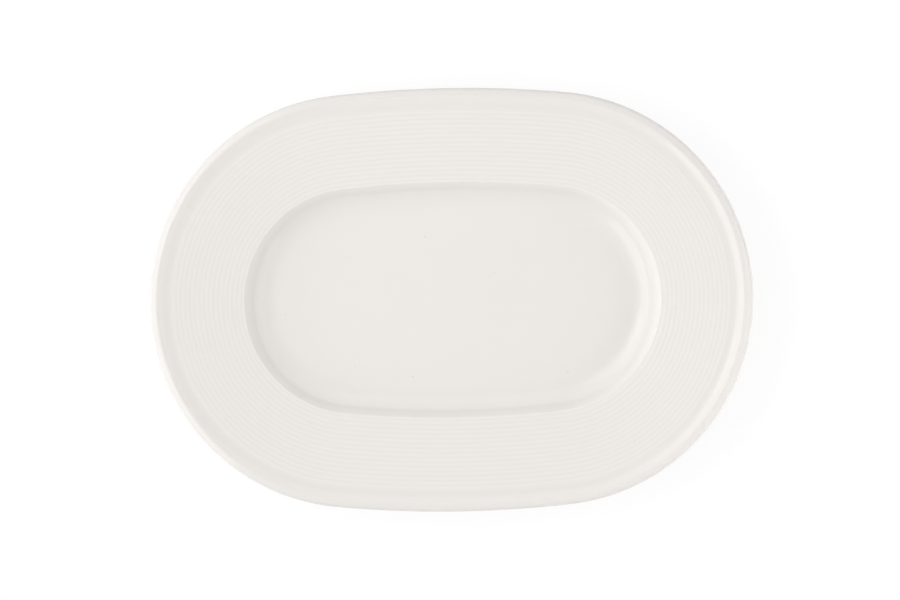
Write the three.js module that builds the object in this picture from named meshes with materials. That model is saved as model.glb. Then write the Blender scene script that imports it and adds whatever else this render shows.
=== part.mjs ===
// A glazed porcelain oval plate with a ribbed rim, in millimetres with +Z up.
// The origin is the plate's centre on the surface that it stands on, and +X runs along its length.
//
// The plate is one pressed and fired porcelain body under two coats of glaze. One coat covers the face,
// turns over the rolled edge and runs back to the foot. The other covers the base inside the foot.
// The foot itself is left dry.
//
// Every level of the plate follows the same four-centre oval, so each piece is one section carried round it.
// A point of a section is a THREE.Vector2: x is how far it lies inside the outline, and y is its height.

import * as THREE from "three";

const { degToRad } = THREE.MathUtils;

// Outline: two end arcs and two bowed sides that meet tangent.
const LENGTH = 300;
const WIDTH = 208.9;
const SIDE_RADIUS = 572;

// Rim: it falls towards the well, and its ribs stand proud of it.
const RIM_WIDTH = 46.2; // from the outline to the shoulder of the well
const RIM_SLOPE = degToRad(9.5);
const RIM_THICKNESS = 4.6;
const SMOOTH_BAND = 11.7; // from the outline to the crest of the outermost rib
const RIB_COUNT = 16; // the innermost rib is the shoulder itself
const RIB_HEIGHT = 0.09;
const SHOULDER_RADIUS = 0.8;

// Rolled edge: a shallow channel beside the outermost rib, then a hollow-sided ridge that falls to the lip
// and turns over to the underside.
const CHANNEL_RUN = 1.5; // from the crest of the outermost rib to the bottom of the channel
const CHANNEL_DEPTH = 0.1; // below the line of the rim
const ROLL_WIDTH = 6.9; // from the outline to where the ridge meets the rim
const ROLL_SLOPE = degToRad(30);
const ROLL_CREST = 3.8; // from the outline to the top of the ridge
const ROLL_CREST_RADIUS = 2;
const ROLL_EASE_RADIUS = 12;
const LIP_SLOPE = degToRad(20);
const LIP_RADIUS = 2.6;
const LIP_UNDER_RADIUS = 1.4;

// Well: a steep wall that eases into a gentler slope and sweeps into a flat floor.
const WELL_DEPTH = 9.95;
const WALL_DROP = 5.25; // how far down the steep wall reaches
const WALL_SLOPE = degToRad(55);
const WALL_THICKNESS = 4.6;
const WALL_SWEEP_RADIUS = 5;
const SWEEP_SLOPE = degToRad(36);
const FLOOR_SWEEP_RADIUS = 21;
const FLOOR_THICKNESS = 4.5;
const UNDER_SHOULDER_RADIUS = 8;
const UNDER_WALL_RADIUS = 5;

// Foot: a low ring under the edge of the floor.
const FOOT_HEIGHT = 2.3; // from the table to the base inside the foot
const FOOT_WIDTH = 3.6;
const FOOT_LEDGE = 5; // from the underside of the wall to the foot
const LEDGE_HEIGHT = 3.1;
const FOOT_DRAFT = degToRad(12);
const FOOT_ROOT_RADIUS = 1;
const DRY_HEIGHT = 1.2; // how far up its sides the foot is bare

const GLAZE_THICKNESS = 0.3;

// Facets: steps along each arc of the oval, and the turn that one facet of a rounded corner takes.
const END_STEPS = 18;
const SIDE_STEPS = 4;
const FACET_TURN = degToRad(22);

// The four centres of the oval.
const halfLength = LENGTH / 2;
const halfWidth = WIDTH / 2;
const endRadius =
  (2 * SIDE_RADIUS * halfWidth - halfWidth ** 2 - halfLength ** 2) / (2 * (SIDE_RADIUS - halfLength));
const endCentre = halfLength - endRadius;
const sideCentre = SIDE_RADIUS - halfWidth;
const endHalfTurn = Math.atan2(sideCentre, endCentre);
const sideHalfTurn = Math.PI / 2 - endHalfTurn;
const endArc = { radius: endRadius, halfTurn: endHalfTurn, steps: END_STEPS };
const sideArc = { radius: SIDE_RADIUS, halfTurn: sideHalfTurn, steps: SIDE_STEPS };
const ovalArcs = [
  { ...endArc, x: endCentre, y: 0, facing: 0 },
  { ...sideArc, x: 0, y: -sideCentre, facing: Math.PI / 2 },
  { ...endArc, x: -endCentre, y: 0, facing: Math.PI },
  { ...sideArc, x: 0, y: sideCentre, facing: -Math.PI / 2 },
];

// Heights and lines of the section.
const floorTop = FOOT_HEIGHT + FLOOR_THICKNESS;
const shoulderHeight = floorTop + WELL_DEPTH;
const ribPitch = (RIM_WIDTH - SMOOTH_BAND) / (RIB_COUNT - 1);
const rimDrop = RIM_THICKNESS / Math.cos(RIM_SLOPE);
const wallSetback = WALL_THICKNESS / Math.sin(WALL_SLOPE);
const rimTop = (inset) => shoulderHeight + (RIM_WIDTH - inset) * Math.tan(RIM_SLOPE);
const rimUnder = (inset) => rimTop(inset) - rimDrop;
const wallTop = (height) => RIM_WIDTH + (shoulderHeight - height) / Math.tan(WALL_SLOPE);
const wallUnder = (height) => wallTop(height) - wallSetback;
const underShoulder =
  RIM_WIDTH + (rimDrop - wallSetback * Math.tan(WALL_SLOPE)) / (Math.tan(WALL_SLOPE) - Math.tan(RIM_SLOPE));
const footOuter = wallUnder(LEDGE_HEIGHT) + FOOT_LEDGE;
const footInner = footOuter + FOOT_WIDTH;
const footLean = (height) => height * Math.tan(FOOT_DRAFT);
const coatReach = GLAZE_THICKNESS / Math.cos(FOOT_DRAFT);
const wallFootHeight = shoulderHeight - WALL_DROP;
const wallFoot = wallTop(wallFootHeight);
const floorCorner = wallFoot + (WELL_DEPTH - WALL_DROP) / Math.tan(SWEEP_SLOPE);
const channelInset = SMOOTH_BAND - CHANNEL_RUN;
const crestHeight = rimTop(ROLL_WIDTH) + (ROLL_WIDTH - ROLL_CREST) * Math.tan(ROLL_SLOPE);
const lipHeight = crestHeight - ROLL_CREST * Math.tan(LIP_SLOPE);

function corner(inset, height, radius = 0) {
  return { point: new THREE.Vector2(inset, height), radius };
}

// Joins corners with straight lines and rounds each one to its radius.
// A radius that its two lines have no room for is cut to what fits.
function roundCorners(corners) {
  const turns = corners.map(({ point, radius }, i) => {
    if (!radius) return { reach: 0 };
    const back = corners[i - 1].point.clone().sub(point).normalize();
    const onward = corners[i + 1].point.clone().sub(point).normalize();
    const half = back.angleTo(onward) / 2;
    return { back, onward, half, reach: radius / Math.tan(half) };
  });
  const room = (i, j) => corners[i].point.distanceTo(corners[j].point) / (turns[i].reach + turns[j].reach);
  return corners.flatMap(({ point }, i) => {
    const { back, onward, half, reach } = turns[i];
    if (!reach) return [point];
    const used = reach * Math.min(1, room(i - 1, i), room(i, i + 1));
    const bisector = back.clone().add(onward).normalize();
    const centre = point.clone().addScaledVector(bisector, used / Math.cos(half));
    const start = point.clone().addScaledVector(back, used);
    const turn = (Math.PI - 2 * half) * -Math.sign(back.cross(onward));
    const steps = Math.max(1, Math.round(Math.abs(turn) / FACET_TURN));
    const swing = turn / steps;
    return Array.from({ length: steps + 1 }, (_, k) => start.clone().rotateAround(centre, swing * k));
  });
}

// The same section sunk into the plate by a depth, square to its lines.
function sink(section, depth) {
  const inward = section.slice(1).map((to, i) => {
    const from = section[i];
    return new THREE.Vector2(from.y - to.y, to.x - from.x).normalize();
  });
  return section.map((point, i) => {
    const before = inward[Math.max(i - 1, 0)];
    const after = inward[Math.min(i, inward.length - 1)];
    const mitre = before.clone().add(after).normalize();
    return point.clone().addScaledVector(mitre, depth / mitre.dot(before));
  });
}

// One level of the plate: the oval drawn at a section point's inset and height.
function ovalRing({ x: inset, y: height }) {
  return ovalArcs.flatMap(({ x, y, radius, facing, halfTurn, steps }) => {
    const reach = radius - inset;
    const arc = new THREE.EllipseCurve(x, y, reach, reach, facing - halfTurn, facing + halfTurn);
    const points = arc.getPoints(steps).slice(0, -1);
    return points.map((point) => new THREE.Vector3(point.x, point.y, height));
  });
}

// Carries a section round the oval and closes its first and last rings with flat caps, facing up and down.
function carryRound(section) {
  const rings = section.map(ovalRing);
  const points = rings.flat();
  const around = rings[0].length;
  const triangles = [];
  const topCentre = points.push(new THREE.Vector3(0, 0, section[0].y)) - 1;
  const underCentre = points.push(new THREE.Vector3(0, 0, section.at(-1).y)) - 1;
  const lastRing = (rings.length - 1) * around;
  for (let j = 0; j < around; j++) {
    const next = (j + 1) % around;
    triangles.push(topCentre, j, next);
    triangles.push(underCentre, lastRing + next, lastRing + j);
    for (let ring = 0; ring < lastRing; ring += around) {
      const [a, b] = [ring + j, ring + next];
      const [c, d] = [a + around, b + around];
      triangles.push(a, c, d, a, d, b);
    }
  }
  const geometry = new THREE.BufferGeometry().setFromPoints(points).setIndex(triangles);
  geometry.computeVertexNormals();
  return geometry;
}

// The ribbed rim, from the shoulder out to the outermost rib.
function ribCorners() {
  const corners = [corner(RIM_WIDTH, rimTop(RIM_WIDTH) + RIB_HEIGHT, SHOULDER_RADIUS)];
  for (let rib = 1; rib < RIB_COUNT; rib++) {
    const groove = RIM_WIDTH - (rib - 0.5) * ribPitch;
    const crest = RIM_WIDTH - rib * ribPitch;
    corners.push(corner(groove, rimTop(groove)), corner(crest, rimTop(crest) + RIB_HEIGHT));
  }
  return corners;
}

// The outer surface of the face coat: from the floor over the rim and the rolled edge, then back to the foot.
const faceCoat = roundCorners([
  corner(floorCorner + FLOOR_SWEEP_RADIUS, floorTop),
  corner(floorCorner, floorTop, FLOOR_SWEEP_RADIUS),
  corner(wallFoot, wallFootHeight, WALL_SWEEP_RADIUS),
  ...ribCorners(),
  corner(channelInset, rimTop(channelInset) - CHANNEL_DEPTH),
  corner(ROLL_WIDTH, rimTop(ROLL_WIDTH), ROLL_EASE_RADIUS),
  corner(ROLL_CREST, crestHeight, ROLL_CREST_RADIUS),
  corner(0, lipHeight, LIP_RADIUS),
  corner(0, rimUnder(0), LIP_UNDER_RADIUS),
  corner(underShoulder, rimUnder(underShoulder), UNDER_SHOULDER_RADIUS),
  corner(wallUnder(LEDGE_HEIGHT), LEDGE_HEIGHT, UNDER_WALL_RADIUS),
  corner(footOuter - footLean(LEDGE_HEIGHT) - coatReach, LEDGE_HEIGHT, FOOT_ROOT_RADIUS),
  corner(footOuter - footLean(DRY_HEIGHT) - coatReach, DRY_HEIGHT),
]);

// The outer surface of the base coat, from the foot's inner side to the middle of the base.
const baseCorner = footInner + footLean(FOOT_HEIGHT) + coatReach;
const baseCoat = roundCorners([
  corner(footInner + footLean(DRY_HEIGHT) + coatReach, DRY_HEIGHT),
  corner(baseCorner, FOOT_HEIGHT, FOOT_ROOT_RADIUS),
  corner(baseCorner + FOOT_WIDTH, FOOT_HEIGHT),
]);

// The porcelain under the coats, and the bare foot between them.
const faceClay = sink(faceCoat, GLAZE_THICKNESS);
const baseClay = sink(baseCoat, GLAZE_THICKNESS);
const footFace = [new THREE.Vector2(footOuter, 0), new THREE.Vector2(footInner, 0)];

const porcelain = new THREE.MeshStandardMaterial({ color: 0xe9e4da, roughness: 0.75, metalness: 0 });
const glaze = new THREE.MeshStandardMaterial({ color: 0xecebe7, roughness: 0.12, metalness: 0 });

function piece(name, section, material) {
  const mesh = new THREE.Mesh(carryRound(section), material);
  mesh.name = name;
  return mesh;
}

const plate = new THREE.Group();
plate.add(
  piece("porcelain_body", [...faceClay, ...footFace, ...baseClay], porcelain),
  piece("face_glaze", [...faceCoat, ...faceClay.toReversed()], glaze),
  piece("base_glaze", [...baseClay.toReversed(), ...baseCoat], glaze),
);

export default plate;
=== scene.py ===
# %% [markdown]
# # An oval porcelain plate
#
# This lesson dresses a plate whose exact solids were made in a CAD step. The solids are loaded
# first. They give the size that the visible plate has to keep, and each visible piece takes the
# place of one of them.

import math

import bpy
import numpy as np
from mathutils import Matrix, Vector


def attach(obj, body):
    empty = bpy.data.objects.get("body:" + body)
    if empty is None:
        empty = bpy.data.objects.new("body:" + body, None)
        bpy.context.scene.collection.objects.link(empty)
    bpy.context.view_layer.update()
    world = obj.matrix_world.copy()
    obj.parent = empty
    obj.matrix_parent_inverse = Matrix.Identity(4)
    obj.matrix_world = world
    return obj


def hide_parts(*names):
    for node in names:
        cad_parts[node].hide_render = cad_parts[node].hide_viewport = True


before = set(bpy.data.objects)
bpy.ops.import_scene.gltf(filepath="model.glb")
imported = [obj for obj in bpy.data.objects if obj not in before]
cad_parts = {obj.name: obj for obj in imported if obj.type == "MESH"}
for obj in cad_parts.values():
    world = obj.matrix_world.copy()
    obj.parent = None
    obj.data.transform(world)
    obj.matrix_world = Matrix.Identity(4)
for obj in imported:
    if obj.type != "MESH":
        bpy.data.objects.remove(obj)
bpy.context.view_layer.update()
print("CAD nodes:", sorted(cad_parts))

# %% [markdown]
# ## The outline
#
# Seen from above the plate is a four-centre oval: two round ends and two long bowed sides that
# meet without a kink. An ellipse would be quicker to add, but its ends are too pointed. Every
# line of the plate, from the rolled edge to the foot, lies a fixed distance inside this outline,
# so the four centres are all that later steps need.

# %% The four centres of the oval
MM = 0.001
HALF_LENGTH = 150 * MM
HALF_WIDTH = 104.45 * MM
SIDE_RADIUS = 572 * MM

end_radius = (2 * SIDE_RADIUS * HALF_WIDTH - HALF_WIDTH**2 - HALF_LENGTH**2) / (
    2 * (SIDE_RADIUS - HALF_LENGTH)
)
end_centre = HALF_LENGTH - end_radius
side_centre = SIDE_RADIUS - HALF_WIDTH
end_half_turn = math.atan2(side_centre, end_centre)
side_half_turn = math.pi / 2 - end_half_turn
print("radius of the ends in mm:", round(end_radius / MM, 2))
print("turn of each end in degrees:", round(math.degrees(2 * end_half_turn), 1))

# %% [markdown]
# ## The section
#
# A potter turns a round plate against a template. This plate works the same way: one template,
# the section, is carried round the four centres. It is written as corners, each with its distance
# inside the outline, its height and the radius that it is rounded to. That keeps every size in
# one place and every rounding a true arc.

# %% Sizes of the section
RIM_WIDTH = 46.2 * MM
RIM_SLOPE = math.radians(9.5)
RIM_THICKNESS = 4.6 * MM
SMOOTH_BAND = 11.7 * MM
RIB_COUNT = 16
RIB_HEIGHT = 0.09 * MM
SHOULDER_RADIUS = 0.8 * MM
WELL_DEPTH = 9.95 * MM
WALL_DROP = 5.25 * MM
WALL_SLOPE = math.radians(55)
WALL_THICKNESS = 4.6 * MM
WALL_SWEEP_RADIUS = 5 * MM
SWEEP_SLOPE = math.radians(36)
FLOOR_SWEEP_RADIUS = 21 * MM
FLOOR_THICKNESS = 4.5 * MM
FOOT_HEIGHT = 2.3 * MM

floor_top = FOOT_HEIGHT + FLOOR_THICKNESS
shoulder = floor_top + WELL_DEPTH
rib_pitch = (RIM_WIDTH - SMOOTH_BAND) / (RIB_COUNT - 1)


def rim_top(inset):
    """Height of the rim's face, ribs apart, at a distance inside the outline."""
    return shoulder + (RIM_WIDTH - inset) * math.tan(RIM_SLOPE)


def wall_top(height):
    """How far inside the outline the well wall's face lies at a height."""
    return RIM_WIDTH + (shoulder - height) / math.tan(WALL_SLOPE)


print("height of the shoulder in mm:", round(shoulder / MM, 2))
print("ribs are", round(rib_pitch / MM, 2), "mm apart")

# %% [markdown]
# ### Floor, wall and ribs
#
# The first stretch climbs from the flat floor through a wide sweep and a gentle slope to the
# steep wall, and up to the shoulder of the well. From there the ribs run out over the rim as a
# row of small waves. A wave is a crest and a groove of one radius that meet midway, so the corner
# of each has to overshoot the wave's height by the part that the rounding takes away.

# %% Corners from the floor to the outermost rib
pitch_along = rib_pitch / math.cos(RIM_SLOPE)
rib_radius = pitch_along**2 / (16 * RIB_HEIGHT) + RIB_HEIGHT / 4
rib_lean = math.asin(pitch_along / 4 / rib_radius)
overshoot = pitch_along / 4 / math.cos(rib_lean) * math.tan(rib_lean / 2)


def on_rim(inset, proud):
    """A point that stands proud of the rim's line, square to it."""
    return (inset + proud * math.sin(RIM_SLOPE), rim_top(inset) + proud * math.cos(RIM_SLOPE))


wall_foot = wall_top(shoulder - WALL_DROP)
floor_corner = wall_foot + (WELL_DEPTH - WALL_DROP) / math.tan(SWEEP_SLOPE)
face_corners = [
    (floor_corner + FLOOR_SWEEP_RADIUS, floor_top, 0),
    (floor_corner, floor_top, FLOOR_SWEEP_RADIUS),
    (wall_foot, shoulder - WALL_DROP, WALL_SWEEP_RADIUS),
    (*on_rim(RIM_WIDTH, RIB_HEIGHT), SHOULDER_RADIUS),
]
for rib in range(1, RIB_COUNT):
    groove = RIM_WIDTH - (rib - 0.5) * rib_pitch
    crest = RIM_WIDTH - rib * rib_pitch
    face_corners.append((*on_rim(groove, -overshoot), rib_radius))
    face_corners.append((*on_rim(crest, RIB_HEIGHT + overshoot), rib_radius))
print("corners up to the outermost rib:", len(face_corners))

# %% [markdown]
# ### Rolled edge, underside and foot
#
# The outermost rib runs down into a shallow channel. Its floor sweeps up to the rolled edge, a
# low ridge that stiffens the rim and keeps food on the plate. The glaze turns over it, runs back
# under the rim and stops a little above the table, because a glazed foot would stick to the kiln
# shelf.

# %% Corners from the rolled edge to the foot
ROLL_WIDTH = 6.9 * MM
ROLL_SLOPE = math.radians(30)
ROLL_CREST = 3.8 * MM
ROLL_CREST_RADIUS = 2 * MM
ROLL_EASE_RADIUS = 12 * MM
LIP_SLOPE = math.radians(20)
LIP_RADIUS = 2.6 * MM
LIP_UNDER_RADIUS = 1.4 * MM
CHANNEL_RUN = 1.5 * MM
CHANNEL_RADIUS = 2 * MM
UNDER_SHOULDER_RADIUS = 8 * MM
UNDER_WALL_RADIUS = 5 * MM
FOOT_WIDTH = 3.6 * MM
FOOT_LEDGE = 5 * MM
LEDGE_HEIGHT = 3.1 * MM
FOOT_DRAFT = math.radians(12)
FOOT_ROOT_RADIUS = 1 * MM
DRY_HEIGHT = 1.2 * MM
GLAZE = 0.3 * MM

wall_setback = WALL_THICKNESS / math.sin(WALL_SLOPE)
rim_drop = RIM_THICKNESS / math.cos(RIM_SLOPE)
under_shoulder = RIM_WIDTH + (rim_drop - wall_setback * math.tan(WALL_SLOPE)) / (
    math.tan(WALL_SLOPE) - math.tan(RIM_SLOPE)
)
ledge = wall_top(LEDGE_HEIGHT) - wall_setback
foot_outer = ledge + FOOT_LEDGE
foot_inner = foot_outer + FOOT_WIDTH
coat_reach = GLAZE / math.cos(FOOT_DRAFT)
crest_height = rim_top(ROLL_WIDTH) + (ROLL_WIDTH - ROLL_CREST) * math.tan(ROLL_SLOPE)
channel_drop = CHANNEL_RUN / math.cos(RIM_SLOPE) * math.tan(rib_lean) - RIB_HEIGHT - overshoot


def foot_side(height):
    """How far inside the outline the glaze on the foot's outer side lies at a height."""
    return foot_outer - height * math.tan(FOOT_DRAFT) - coat_reach


face_corners += [
    (*on_rim(SMOOTH_BAND - CHANNEL_RUN, -channel_drop), CHANNEL_RADIUS),
    (ROLL_WIDTH, rim_top(ROLL_WIDTH), ROLL_EASE_RADIUS),
    (ROLL_CREST, crest_height, ROLL_CREST_RADIUS),
    (0, crest_height - ROLL_CREST * math.tan(LIP_SLOPE), LIP_RADIUS),
    (0, rim_top(0) - rim_drop, LIP_UNDER_RADIUS),
    (under_shoulder, rim_top(under_shoulder) - rim_drop, UNDER_SHOULDER_RADIUS),
    (ledge, LEDGE_HEIGHT, UNDER_WALL_RADIUS),
    (foot_side(LEDGE_HEIGHT), LEDGE_HEIGHT, FOOT_ROOT_RADIUS),
    (foot_side(DRY_HEIGHT), DRY_HEIGHT, 0),
]
print("corners of the whole face coat:", len(face_corners))
foot_span = [round(edge / MM, 2) for edge in (foot_outer, foot_inner)]
print("foot in mm inside the outline:", foot_span)

# %% [markdown]
# ## Drawing the wire
#
# In edit mode a wire is drawn by extruding one vertex: extrude and move makes a straight run, and
# spin swings the vertex round a centre to make an arc. A bevelled polyline would look alike, but
# true arcs keep the highlights on the glaze even.


# %% A pen for sections
def deselect_all():
    if bpy.context.object and bpy.context.object.mode == "EDIT":
        bpy.ops.object.mode_set(mode="OBJECT")
    bpy.ops.object.select_all(action="DESELECT")


def section_point(inset, height):
    """The section stands at the plate's right-hand end, in the plane of X and Z."""
    return Vector((HALF_LENGTH - inset, 0, height))


def start_wire(name, inset, height):
    """One vertex in edit mode: a small plane, merged and moved to the start of the section."""
    deselect_all()
    bpy.ops.mesh.primitive_plane_add(size=1 * MM, location=(0, 0, 0))
    bpy.context.object.name = name
    bpy.ops.object.mode_set(mode="EDIT")
    bpy.ops.mesh.select_mode(type="VERT")
    bpy.ops.mesh.select_all(action="SELECT")
    bpy.ops.mesh.merge(type="CENTER")
    bpy.ops.transform.translate(value=section_point(inset, height))
    return bpy.context.object


def draw_wire(corners, facet, stride):
    """Runs from corner to corner. A rounding takes steps of about a facet, none longer than a stride."""
    points = [section_point(inset, height) for inset, height, _ in corners]
    pen = points[0].copy()
    for i in range(1, len(corners)):
        radius = corners[i][2]
        if radius == 0:
            bpy.ops.mesh.extrude_region_move(TRANSFORM_OT_translate={"value": points[i] - pen})
            pen = points[i].copy()
            continue
        back = (points[i - 1] - points[i]).normalized()
        onward = (points[i + 1] - points[i]).normalized()
        half = back.angle(onward) / 2
        reach = radius / math.tan(half)
        arc_start = points[i] + back * reach
        if (arc_start - pen).length > 0.001 * MM:
            bpy.ops.mesh.extrude_region_move(TRANSFORM_OT_translate={"value": arc_start - pen})
        centre = points[i] + (back + onward).normalized() * radius / math.sin(half)
        turn = math.pi - 2 * half
        steps = max(2, round(turn / facet), round(radius * turn / stride))
        axis = back.cross(onward).normalized()
        bpy.ops.mesh.spin(steps=steps, angle=turn, center=centre, axis=axis)
        pen = points[i] + onward * reach


# %% [markdown]
# ## Carrying the section round
#
# The wire is spun round each of the four centres in turn, and each spin starts where the last one
# stopped. A curve with a bevel profile would also do it, but spin keeps the rings exactly
# parallel. The seam is merged afterwards, the open middle is filled, and the faces are turned
# outwards before a coat gets its thickness.

# %% Spin, fill and thicken
END_STEPS = 92
SIDE_STEPS = 24


def carry_round():
    """Spins the selected wire round the right end, the back, the left end, the front and home again."""
    swings = [
        ((end_centre, 0, 0), end_half_turn, END_STEPS // 2),
        ((0, -side_centre, 0), 2 * side_half_turn, SIDE_STEPS),
        ((-end_centre, 0, 0), 2 * end_half_turn, END_STEPS),
        ((0, side_centre, 0), 2 * side_half_turn, SIDE_STEPS),
        ((end_centre, 0, 0), end_half_turn, END_STEPS // 2),
    ]
    for centre, angle, steps in swings:
        bpy.ops.mesh.spin(steps=steps, angle=angle, center=centre, axis=(0, 0, -1))
    bpy.ops.mesh.select_all(action="SELECT")
    bpy.ops.mesh.remove_doubles(threshold=0.005 * MM)


def fill_ring(piece, height):
    """Closes the open ring at a height with one flat face."""
    bpy.ops.mesh.select_all(action="DESELECT")
    bpy.ops.mesh.select_mode(type="EDGE")
    bpy.ops.mesh.select_non_manifold(
        extend=False, use_wire=False, use_multi_face=False, use_non_contiguous=False
    )
    bpy.ops.object.mode_set(mode="OBJECT")
    vertices = piece.data.vertices
    for edge in piece.data.edges:
        if edge.select and abs(vertices[edge.vertices[0]].co.z - height) > 0.01 * MM:
            edge.select = False
    bpy.ops.object.mode_set(mode="EDIT")
    bpy.ops.mesh.edge_face_add()


def face_outwards(piece, cap_direction):
    """Turns all faces the same way round, with the flat cap facing up (1) or down (-1)."""
    bpy.ops.mesh.select_all(action="SELECT")
    bpy.ops.mesh.normals_make_consistent(inside=False)
    bpy.ops.object.mode_set(mode="OBJECT")
    cap = max(piece.data.polygons, key=lambda face: face.area)
    if cap.normal.z * cap_direction < 0:
        bpy.ops.object.mode_set(mode="EDIT")
        bpy.ops.mesh.flip_normals()
        bpy.ops.object.mode_set(mode="OBJECT")


def thicken(piece, depth):
    """Gives a coat its thickness on the inner side."""
    wall = piece.modifiers.new("thickness", "SOLIDIFY")
    wall.thickness = depth
    wall.offset = -1
    wall.use_even_offset = True
    bpy.ops.object.modifier_apply(modifier=wall.name)


def report(piece):
    triangles = sum(len(face.vertices) - 2 for face in piece.data.polygons)
    size = [round(side / MM, 2) for side in piece.dimensions]
    print(f"{piece.name}: {size} mm, {triangles} triangles")


# %% [markdown]
# ## The face coat
#
# What the eye sees of the plate is glaze: a glassy coat about 0.3 mm thick. The coat over the
# face is one piece that reaches from the floor of the well, over the rim and its rolled edge,
# back to the foot.

# %% The coat of glaze over the face
FINE_FACET = math.radians(10)
FINE_STRIDE = 1 * MM
SMOOTH_ANGLE = math.radians(40)

face_glaze = start_wire("face_glaze_coat", *face_corners[0][:2])
draw_wire(face_corners, FINE_FACET, FINE_STRIDE)
bpy.ops.mesh.select_all(action="SELECT")
carry_round()
fill_ring(face_glaze, floor_top)
face_outwards(face_glaze, 1)
thicken(face_glaze, GLAZE)
bpy.ops.object.shade_smooth_by_angle(angle=SMOOTH_ANGLE)
report(face_glaze)

# %% [markdown]
# ## The base coat
#
# Inside the foot the base is glazed as well. The dry foot keeps this coat apart from the first,
# so it is a piece of its own, made in the same way from a short section.

# %% The coat of glaze on the base
base_corner = foot_inner + FOOT_HEIGHT * math.tan(FOOT_DRAFT) + coat_reach
base_corners = [
    (foot_inner + DRY_HEIGHT * math.tan(FOOT_DRAFT) + coat_reach, DRY_HEIGHT, 0),
    (base_corner, FOOT_HEIGHT, FOOT_ROOT_RADIUS),
    (base_corner + FOOT_WIDTH, FOOT_HEIGHT, 0),
]
base_glaze = start_wire("base_glaze_coat", *base_corners[0][:2])
draw_wire(base_corners, FINE_FACET, FINE_STRIDE)
bpy.ops.mesh.select_all(action="SELECT")
carry_round()
fill_ring(base_glaze, FOOT_HEIGHT)
face_outwards(base_glaze, -1)
thicken(base_glaze, GLAZE)
bpy.ops.object.shade_smooth_by_angle(angle=SMOOTH_ANGLE)
report(base_glaze)

# %% [markdown]
# ## The porcelain body
#
# Under the glaze is the fired body, and only its standing ring shows. Its section is the coats'
# section sunk by their thickness: a bulge gets a smaller radius and a hollow a larger one, so the
# two stay parallel. Copying the coat's mesh and shrinking it would not leave the same even gap.


# %% Sink a section
def sink(corners, depth):
    """The same corners moved into the plate, square to the lines that meet there."""
    sunk = []
    across = Vector((0, 1, 0))
    for i, (inset, height, radius) in enumerate(corners):
        here = section_point(inset, height)
        before = section_point(*corners[i - 1][:2]) if i > 0 else None
        after = section_point(*corners[i + 1][:2]) if i + 1 < len(corners) else None
        into = (here - before if before else after - here).normalized()
        out_of = (after - here if after else here - before).normalized()
        square_in, square_out = across.cross(into), across.cross(out_of)
        mitre = (square_in + square_out).normalized()
        moved = here + mitre * depth / mitre.dot(square_in)
        bulge = 1 if into.cross(out_of).y > 0 else -1
        sunk_radius = max(0, radius - bulge * depth) if radius else 0
        sunk.append((HALF_LENGTH - moved.x, moved.z, sunk_radius))
    return sunk


# %% The body under the glaze
FOOT_EDGE_RADIUS = 0.25 * MM
COARSE_FACET = math.radians(20)
COARSE_STRIDE = 2 * MM

body_corners = [
    *sink(face_corners, GLAZE),
    (foot_outer, 0, FOOT_EDGE_RADIUS),
    (foot_inner, 0, FOOT_EDGE_RADIUS),
    *sink(base_corners, GLAZE),
]
body = start_wire("porcelain_body_shape", *body_corners[0][:2])
draw_wire(body_corners, COARSE_FACET, COARSE_STRIDE)
bpy.ops.mesh.select_all(action="SELECT")
carry_round()
fill_ring(body, floor_top - GLAZE)
fill_ring(body, FOOT_HEIGHT + GLAZE)
face_outwards(body, 1)
bpy.ops.object.shade_smooth_by_angle(angle=SMOOTH_ANGLE)
report(body)

# %% [markdown]
# ## Taking the place of the solids
#
# Nothing on a plate moves, so all three pieces ride on the one body, root. Each one hides the CAD
# solid that it stands for.

# %% Places of the pieces
for piece, node, slot in [
    (face_glaze, "face_glaze", "glaze"),
    (base_glaze, "base_glaze", "glaze"),
    (body, "porcelain_body", "porcelain"),
]:
    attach(piece, "root")
    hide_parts(node)
    print(piece.name, "stands for", node)

# %% [markdown]
# ## Where the glaze pools, and where shade is painted
#
# Molten glaze runs off edges and gathers in hollows. It is thinnest on the shoulder and on the
# crests of the ribs, and thickest in the grooves and in the channel beside the rolled edge. The
# same number paints light too: painted shade in the grooves and the channel, and a painted
# highlight along the shoulder and the rib crests. A number for each vertex, 0 where it is thin
# and 1 where it is thick, lets the material follow the shape exactly. A noise texture could not.


# %% Measure the pooling and the painted shade
def inset_of(points):
    """How far each point lies inside the outline, seen from above."""
    x, y = np.abs(points[:, 0]), np.abs(points[:, 1])
    from_end = end_radius - np.hypot(x - end_centre, y)
    from_side = SIDE_RADIUS - np.hypot(x, y + side_centre)
    at_end = np.arctan2(y, x - end_centre) < end_half_turn
    return np.where(at_end, from_end, from_side)


# Glaze pooling that doubles as painted light: grooves and the channel get painted shade, crests a
# painted highlight.
PLAIN_POOL = 0.5
GROOVE_POOL_AND_SHADE = 0.82
CREST_POOL_AND_HIGHLIGHT = 0.18
CHANNEL_POOL_AND_SHADE = 0.85

channel = (ROLL_WIDTH + SMOOTH_BAND - CHANNEL_RUN) / 2
channel_half_width = SMOOTH_BAND - CHANNEL_RUN - channel


def near_line(inset, line, half_width):
    """1 along a line that runs round the plate, fading to 0 on both sides of it."""
    return np.exp(-(((inset - line) / half_width) ** 2))


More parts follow.
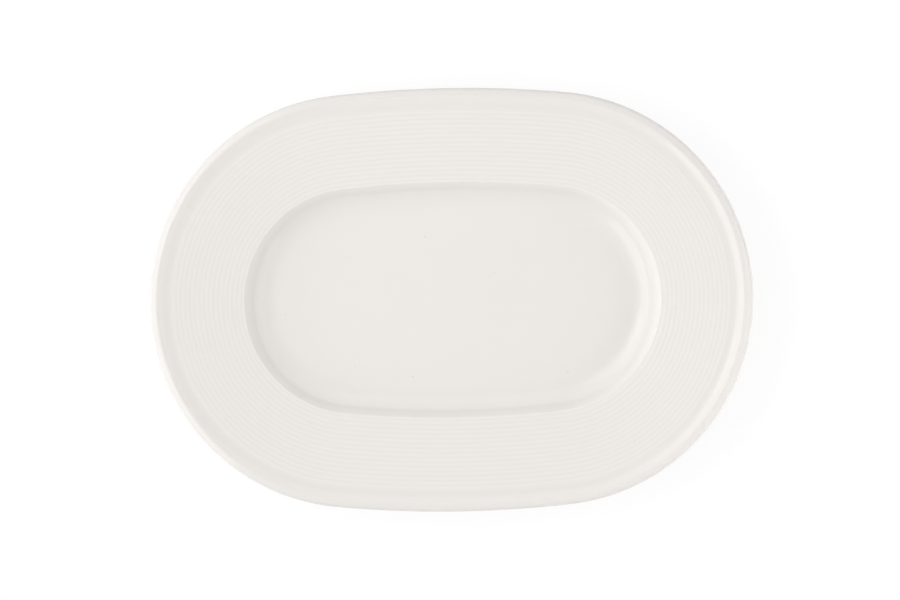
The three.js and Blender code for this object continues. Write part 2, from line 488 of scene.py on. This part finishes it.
def pooling_and_shade(points):
    """How thick the glaze is, from 0 where thinnest to 1, with painted highlight at 0 and painted shade
    at 1.
    """
    inset, height = inset_of(points), points[:, 2]
    proud = (height - rim_top(inset)) * math.cos(RIM_SLOPE) / RIB_HEIGHT
    upper_side = proud > -10
    ribbed = (inset > SMOOTH_BAND - rib_pitch / 2) & (inset < RIM_WIDTH + rib_pitch / 4) & (proud > -1)
    # Rib crests are lighter and grooves darker: real pooling, with painted shade in the grooves and a
    # painted highlight on the crests.
    on_ribs = GROOVE_POOL_AND_SHADE + (CREST_POOL_AND_HIGHLIGHT - GROOVE_POOL_AND_SHADE) * np.clip(proud, 0, 1)
    # The channel beside the rolled edge is darker: pooled glaze and painted shade.
    in_channel = near_line(inset, channel, channel_half_width) * upper_side
    off_ribs = PLAIN_POOL + (CHANNEL_POOL_AND_SHADE - PLAIN_POOL) * in_channel
    # The shoulder is set to the thinnest, lightest glaze: a painted highlight along the well's edge.
    on_shoulder = near_line(inset, RIM_WIDTH, SHOULDER_RADIUS) * upper_side
    return np.where(ribbed, on_ribs, off_ribs) * (1 - on_shoulder)


# Each coat keeps the number, glaze pooling with its painted shade and highlight, as a vertex attribute.
for coat in (face_glaze, base_glaze):
    places = np.empty(3 * len(coat.data.vertices))
    coat.data.vertices.foreach_get("co", places)
    pool_and_shade = pooling_and_shade(places.reshape(-1, 3))
    layer = coat.data.attributes.new("pool_and_shade", "FLOAT", "POINT")
    layer.data.foreach_set("value", pool_and_shade)
    print(coat.name, "pooling from", round(pool_and_shade.min(), 2), "to", round(pool_and_shade.max(), 2))

# %% [markdown]
# ## White glaze
#
# The glaze is a warm white glass: smooth, with sharp reflections. Close up it is never one
# colour. It is a shade deeper where it pools, and the same number paints shade into the grooves
# and the channel and a highlight along the shoulder and the rib crests. It has a faint mottle
# from the firing, a few tiny dark specks of iron and a slight ripple that makes reflections
# waver. Each of these is a small node group on Object coordinates or on the pooling number.


# %% Helpers for node materials
def new_material(name):
    material = bpy.data.materials.new(name)
    material.use_nodes = True
    return material, material.node_tree.nodes, material.node_tree.links


def add_noise(nodes, links, size, detail):
    """A noise texture whose features are about the given size, on Object coordinates."""
    place = nodes.new("ShaderNodeTexCoord")
    noise = nodes.new("ShaderNodeTexNoise")
    noise.inputs["Scale"].default_value = 1 / size
    noise.inputs["Detail"].default_value = detail
    links.new(place.outputs["Object"], noise.inputs["Vector"])
    return noise.outputs["Fac"]


def add_range(nodes, links, value, source, target):
    """Maps a value from one range to another."""
    remap = nodes.new("ShaderNodeMapRange")
    remap.inputs["From Min"].default_value = source[0]
    remap.inputs["From Max"].default_value = source[1]
    remap.inputs["To Min"].default_value = target[0]
    remap.inputs["To Max"].default_value = target[1]
    links.new(value, remap.inputs["Value"])
    return remap.outputs["Result"]


def add_mix(nodes, links, factor, first, second):
    """Mixes two colours. Each is a colour or the output of another node."""
    mix = nodes.new("ShaderNodeMix")
    mix.data_type = "RGBA"
    links.new(factor, mix.inputs["Factor"])
    for name, colour in (("A", first), ("B", second)):
        socket = next(s for s in mix.inputs if s.name == name and s.type == "RGBA")
        if isinstance(colour, tuple):
            socket.default_value = (*colour, 1)
        else:
            links.new(colour, socket)
    return next(s for s in mix.outputs if s.type == "RGBA")


# %% The glaze
# The thin colour is also a painted highlight on the crests and the shoulder, the thick one painted shade
# in the grooves and the channel.
GLAZE_THIN_AND_HIGHLIT = (0.865, 0.834, 0.805)
GLAZE_THICK_AND_SHADED = (0.803, 0.771, 0.741)
GLAZE_MOTTLE = (0.827, 0.798, 0.77)
SPECK_COLOUR = (0.16, 0.13, 0.11)

glaze, nodes, links = new_material("white glaze")
shader = nodes["Principled BSDF"]
shader.inputs["IOR"].default_value = 1.52

pool_and_shade_value = nodes.new("ShaderNodeAttribute")
pool_and_shade_value.attribute_name = "pool_and_shade"
# Mix by the pooling number: painted shade where it is high, a painted highlight where it is low.
colour = add_mix(nodes, links, pool_and_shade_value.outputs["Fac"], GLAZE_THIN_AND_HIGHLIT, GLAZE_THICK_AND_SHADED)

mottle = add_noise(nodes, links, 9 * MM, 4)
mottle = add_range(nodes, links, mottle, (0.45, 0.75), (0, 0.4))
colour = add_mix(nodes, links, mottle, colour, GLAZE_MOTTLE)

# %% Specks, ripple and polish of the glaze
place = nodes.new("ShaderNodeTexCoord")
cells = nodes.new("ShaderNodeTexVoronoi")
cells.inputs["Scale"].default_value = 1 / (7 * MM)
links.new(place.outputs["Object"], cells.inputs["Vector"])
near = add_range(nodes, links, cells.outputs["Distance"], (0.028, 0.04), (1, 0))
chance = nodes.new("ShaderNodeSeparateColor")
links.new(cells.outputs["Color"], chance.inputs["Color"])
dark = add_range(nodes, links, chance.outputs["Red"], (0.6, 1), (0, 0.55))
speck = nodes.new("ShaderNodeMath")
speck.operation = "MULTIPLY"
links.new(near, speck.inputs[0])
links.new(dark, speck.inputs[1])
colour = add_mix(nodes, links, speck.outputs["Value"], colour, SPECK_COLOUR)
links.new(colour, shader.inputs["Base Color"])

polish = add_noise(nodes, links, 20 * MM, 3)
polish = add_range(nodes, links, polish, (0.3, 0.7), (0.05, 0.09))
links.new(polish, shader.inputs["Roughness"])

ripple = nodes.new("ShaderNodeBump")
ripple.inputs["Strength"].default_value = 1
ripple.inputs["Distance"].default_value = 0.006 * MM
links.new(add_noise(nodes, links, 5 * MM, 1), ripple.inputs["Height"])
links.new(ripple.outputs["Normal"], shader.inputs["Normal"])

for coat in (face_glaze, base_glaze):
    coat.data.materials.append(glaze)
print("nodes in the glaze:", len(nodes))

# %% [markdown]
# ## Bare porcelain
#
# The foot is unglazed: dry, a little creamier and finely grained like biscuit. Its standing face
# rubs on tables, so it carries faint grey marks. Height decides where those go, since only the
# lowest part touches anything.

# %% The bare foot
BISQUE = (0.76, 0.72, 0.65)
BISQUE_DEEP = (0.68, 0.63, 0.55)
RUB_GREY = (0.42, 0.41, 0.4)

bisque, nodes, links = new_material("bare porcelain")
shader = nodes["Principled BSDF"]
shader.inputs["Roughness"].default_value = 0.75
grain = add_noise(nodes, links, 0.5 * MM, 3)
colour = add_mix(nodes, links, add_range(nodes, links, grain, (0.4, 0.7), (0, 0.7)), BISQUE, BISQUE_DEEP)

place = nodes.new("ShaderNodeTexCoord")
axes = nodes.new("ShaderNodeSeparateXYZ")
links.new(place.outputs["Object"], axes.inputs["Vector"])
low_down = add_range(nodes, links, axes.outputs["Z"], (0.05 * MM, 0.25 * MM), (1, 0))
patches = add_range(nodes, links, add_noise(nodes, links, 4 * MM, 5), (0.5, 0.75), (0, 0.5))
rub = nodes.new("ShaderNodeMath")
rub.operation = "MULTIPLY"
links.new(low_down, rub.inputs[0])
links.new(patches, rub.inputs[1])
colour = add_mix(nodes, links, rub.outputs["Value"], colour, RUB_GREY)
links.new(colour, shader.inputs["Base Color"])

tooth = nodes.new("ShaderNodeBump")
tooth.inputs["Strength"].default_value = 0.5
tooth.inputs["Distance"].default_value = 0.04 * MM
links.new(grain, tooth.inputs["Height"])
links.new(tooth.outputs["Normal"], shader.inputs["Normal"])
body.data.materials.append(bisque)
print("nodes in the bare porcelain:", len(nodes))

# %% [markdown]
# ## The table
#
# The plate lies on a plain white table. What the camera sees of the table is mostly a glow of its
# own, so that it comes out white without more light on the plate. The rest is real light, so that
# the plate's shadow stays. For light that falls on things the table is plain white paper, which
# brightens the underside of the rim.

# %% Table and its white
TABLE_GLOW = 0.9
TABLE_WHITE = 0.75
SEEN_SHARE = 0.15

deselect_all()
bpy.ops.mesh.primitive_plane_add(size=12, location=(0, 0, 0))
table = bpy.context.object
table.name = "table_top"
white, nodes, links = new_material("white table")
nodes.remove(nodes["Principled BSDF"])
output = nodes["Material Output"]
paper = nodes.new("ShaderNodeBsdfDiffuse")
paper.inputs["Color"].default_value = (TABLE_WHITE, TABLE_WHITE, TABLE_WHITE, 1)


def seen_directly(nodes, links):
    """1 for what the camera sees, also in gloss and through glass, and 0 for light on things."""
    path = nodes.new("ShaderNodeLightPath")
    total = path.outputs["Is Camera Ray"]
    for ray in ("Is Glossy Ray", "Is Transmission Ray"):
        step = nodes.new("ShaderNodeMath")
        step.operation = "MAXIMUM"
        links.new(total, step.inputs[0])
        links.new(path.outputs[ray], step.inputs[1])
        total = step.outputs["Value"]
    return total


glow = nodes.new("ShaderNodeEmission")
glow.inputs["Strength"].default_value = TABLE_GLOW
dimmed = nodes.new("ShaderNodeBsdfDiffuse")
dimmed.inputs["Color"].default_value = (SEEN_SHARE * TABLE_WHITE,) * 3 + (1,)
seen = nodes.new("ShaderNodeAddShader")
links.new(glow.outputs["Emission"], seen.inputs[0])
links.new(dimmed.outputs["BSDF"], seen.inputs[1])
choose = nodes.new("ShaderNodeMixShader")
links.new(seen_directly(nodes, links), choose.inputs["Fac"])
links.new(paper.outputs["BSDF"], choose.inputs[1])
links.new(seen.outputs["Shader"], choose.inputs[2])
links.new(choose.outputs["Shader"], output.inputs["Surface"])
table.data.materials.append(white)
print("table:", [round(side, 1) for side in table.dimensions], "m")

# %% [markdown]
# ## Light
#
# A white plate on white needs light that is soft but not even. The room is an even, pale dome. It
# could light the plate by itself, but then the walls of the well would be as bright as its floor
# and nothing would look round.

# %% The room
ROOM = 0.53

world = bpy.data.worlds.new("soft room")
bpy.context.scene.world = world
world.use_nodes = True
nodes, links = world.node_tree.nodes, world.node_tree.links
background = nodes["Background"]
background.inputs["Color"].default_value = (1, 1, 1, 1)
path = nodes.new("ShaderNodeLightPath")
room = nodes.new("ShaderNodeMix")
room.inputs["A"].default_value = ROOM
room.inputs["B"].default_value = 1
links.new(path.outputs["Is Camera Ray"], room.inputs["Factor"])
links.new(room.outputs["Result"], background.inputs["Strength"])
print("brightness of the room:", ROOM)

# %% [markdown]
# ### Panels for shade, cards for shine
#
# A photographer sets the shade and the shine of a glossy thing apart. Here the panels light the
# plate but don't show in its glaze: a large one high on the left, low ones at the right, the left
# and the front, and two small lamps close to the plate. The cards do the opposite: they only show
# as reflections, and draw the highlights on the rolled edge and the wall. With one set of lamps
# for both, a brighter highlight would also bleach the floor.


# %% Panels and cards
def add_panel(name, location, aim, size, radiance):
    """A rectangular area light that faces a point and looks equally bright wherever it stands."""
    deselect_all()
    facing = (Vector(aim) - Vector(location)).to_track_quat("-Z", "Y")
    bpy.ops.object.light_add(type="AREA", location=location, rotation=facing.to_euler())
    panel = bpy.context.object
    panel.name = name
    panel.visible_camera = False
    panel.data.shape = "RECTANGLE"
    panel.data.size, panel.data.size_y = size
    panel.data.energy = radiance * math.pi * size[0] * size[1]
    print(name, "gives", round(panel.data.energy, 2), "W")
    return panel


panels = [
    add_panel("high_left_panel", (-2.67, 0.28, 2.97), (0, 0, 0), (3, 2), 3.95),
    add_panel("low_right_panel", (0.9, -0.15, 0.27), (0, 0, 0.27), (1.2, 0.54), 2),
    add_panel("low_left_panel", (-3.9, 0, 0.9), (0, 0, 0.9), (3, 1.8), 2),
    add_panel("low_front_panel", (0, -3.9, 0.9), (0, 0, 0.9), (3, 1.8), 0.4),
    add_panel("left_lamp", (-0.09, 0.03, 0.3), (-0.09, 0.03, 0), (0.12, 0.12), 1.3),
    add_panel("right_lamp", (0.22, -0.15, 0.15), (0.12, -0.08, 0.02), (0.12, 0.12), 0.48),
]
for panel in panels:
    panel.visible_glossy = False

cards = [
    add_panel("left_card", (-2, 0, 1.82), (0, 0, 1.82), (4, 1.64), 1.1),
    add_panel("right_card", (2, 0, 1.88), (0, 0, 1.88), (4, 1.74), 0.85),
    add_panel("back_card", (0, 2, 1.48), (0, 0, 1.48), (4, 2.54), 0.75),
    add_panel("corner_card", (-1.36, 0.88, 2.05), (0, 0, 0), (1.5, 0.9), 1),
]
for card in cards:
    card.visible_diffuse = False

# %% [markdown]
# ## Camera
#
# The photograph looks almost straight down from far away. The camera leans a few degrees towards
# the plate's right end, so the wall of the well looks narrower on that side, and it is turned a
# little about its own axis. Its lens follows from how many pixels long the plate is in the
# picture.

# %% The camera above the plate
LEAN = math.radians(7.5)
TWIST = math.radians(-0.876)
DISTANCE = 4.5
PICTURE_PIXELS = 900
PLATE_PIXELS = 608.05
AIM_PIXELS = (-1, -0.2)
AIM_HEIGHT = 20 * MM
SENSOR_WIDTH = 36

pixel = 2 * HALF_LENGTH / PLATE_PIXELS
target = Vector((AIM_PIXELS[0] * pixel, AIM_PIXELS[1] * pixel, AIM_HEIGHT))
back = Vector((math.sin(LEAN), 0, math.cos(LEAN)))
right = Vector((math.cos(TWIST), math.sin(TWIST), 0))
right = (right - back * right.dot(back)).normalized()
up = back.cross(right)
deselect_all()
bpy.ops.object.camera_add()
camera = bpy.context.object
camera.name = "camera_above"
camera.matrix_world = Matrix((right, up, back)).transposed().to_4x4()
camera.location = target + back * DISTANCE
camera.data.sensor_width = SENSOR_WIDTH
camera.data.lens = SENSOR_WIDTH * DISTANCE / (PICTURE_PIXELS * pixel)
camera.data.clip_end = 100
bpy.context.scene.camera = camera
bpy.context.scene.view_settings.view_transform = "Standard"
print("lens in mm:", round(camera.data.lens, 1))
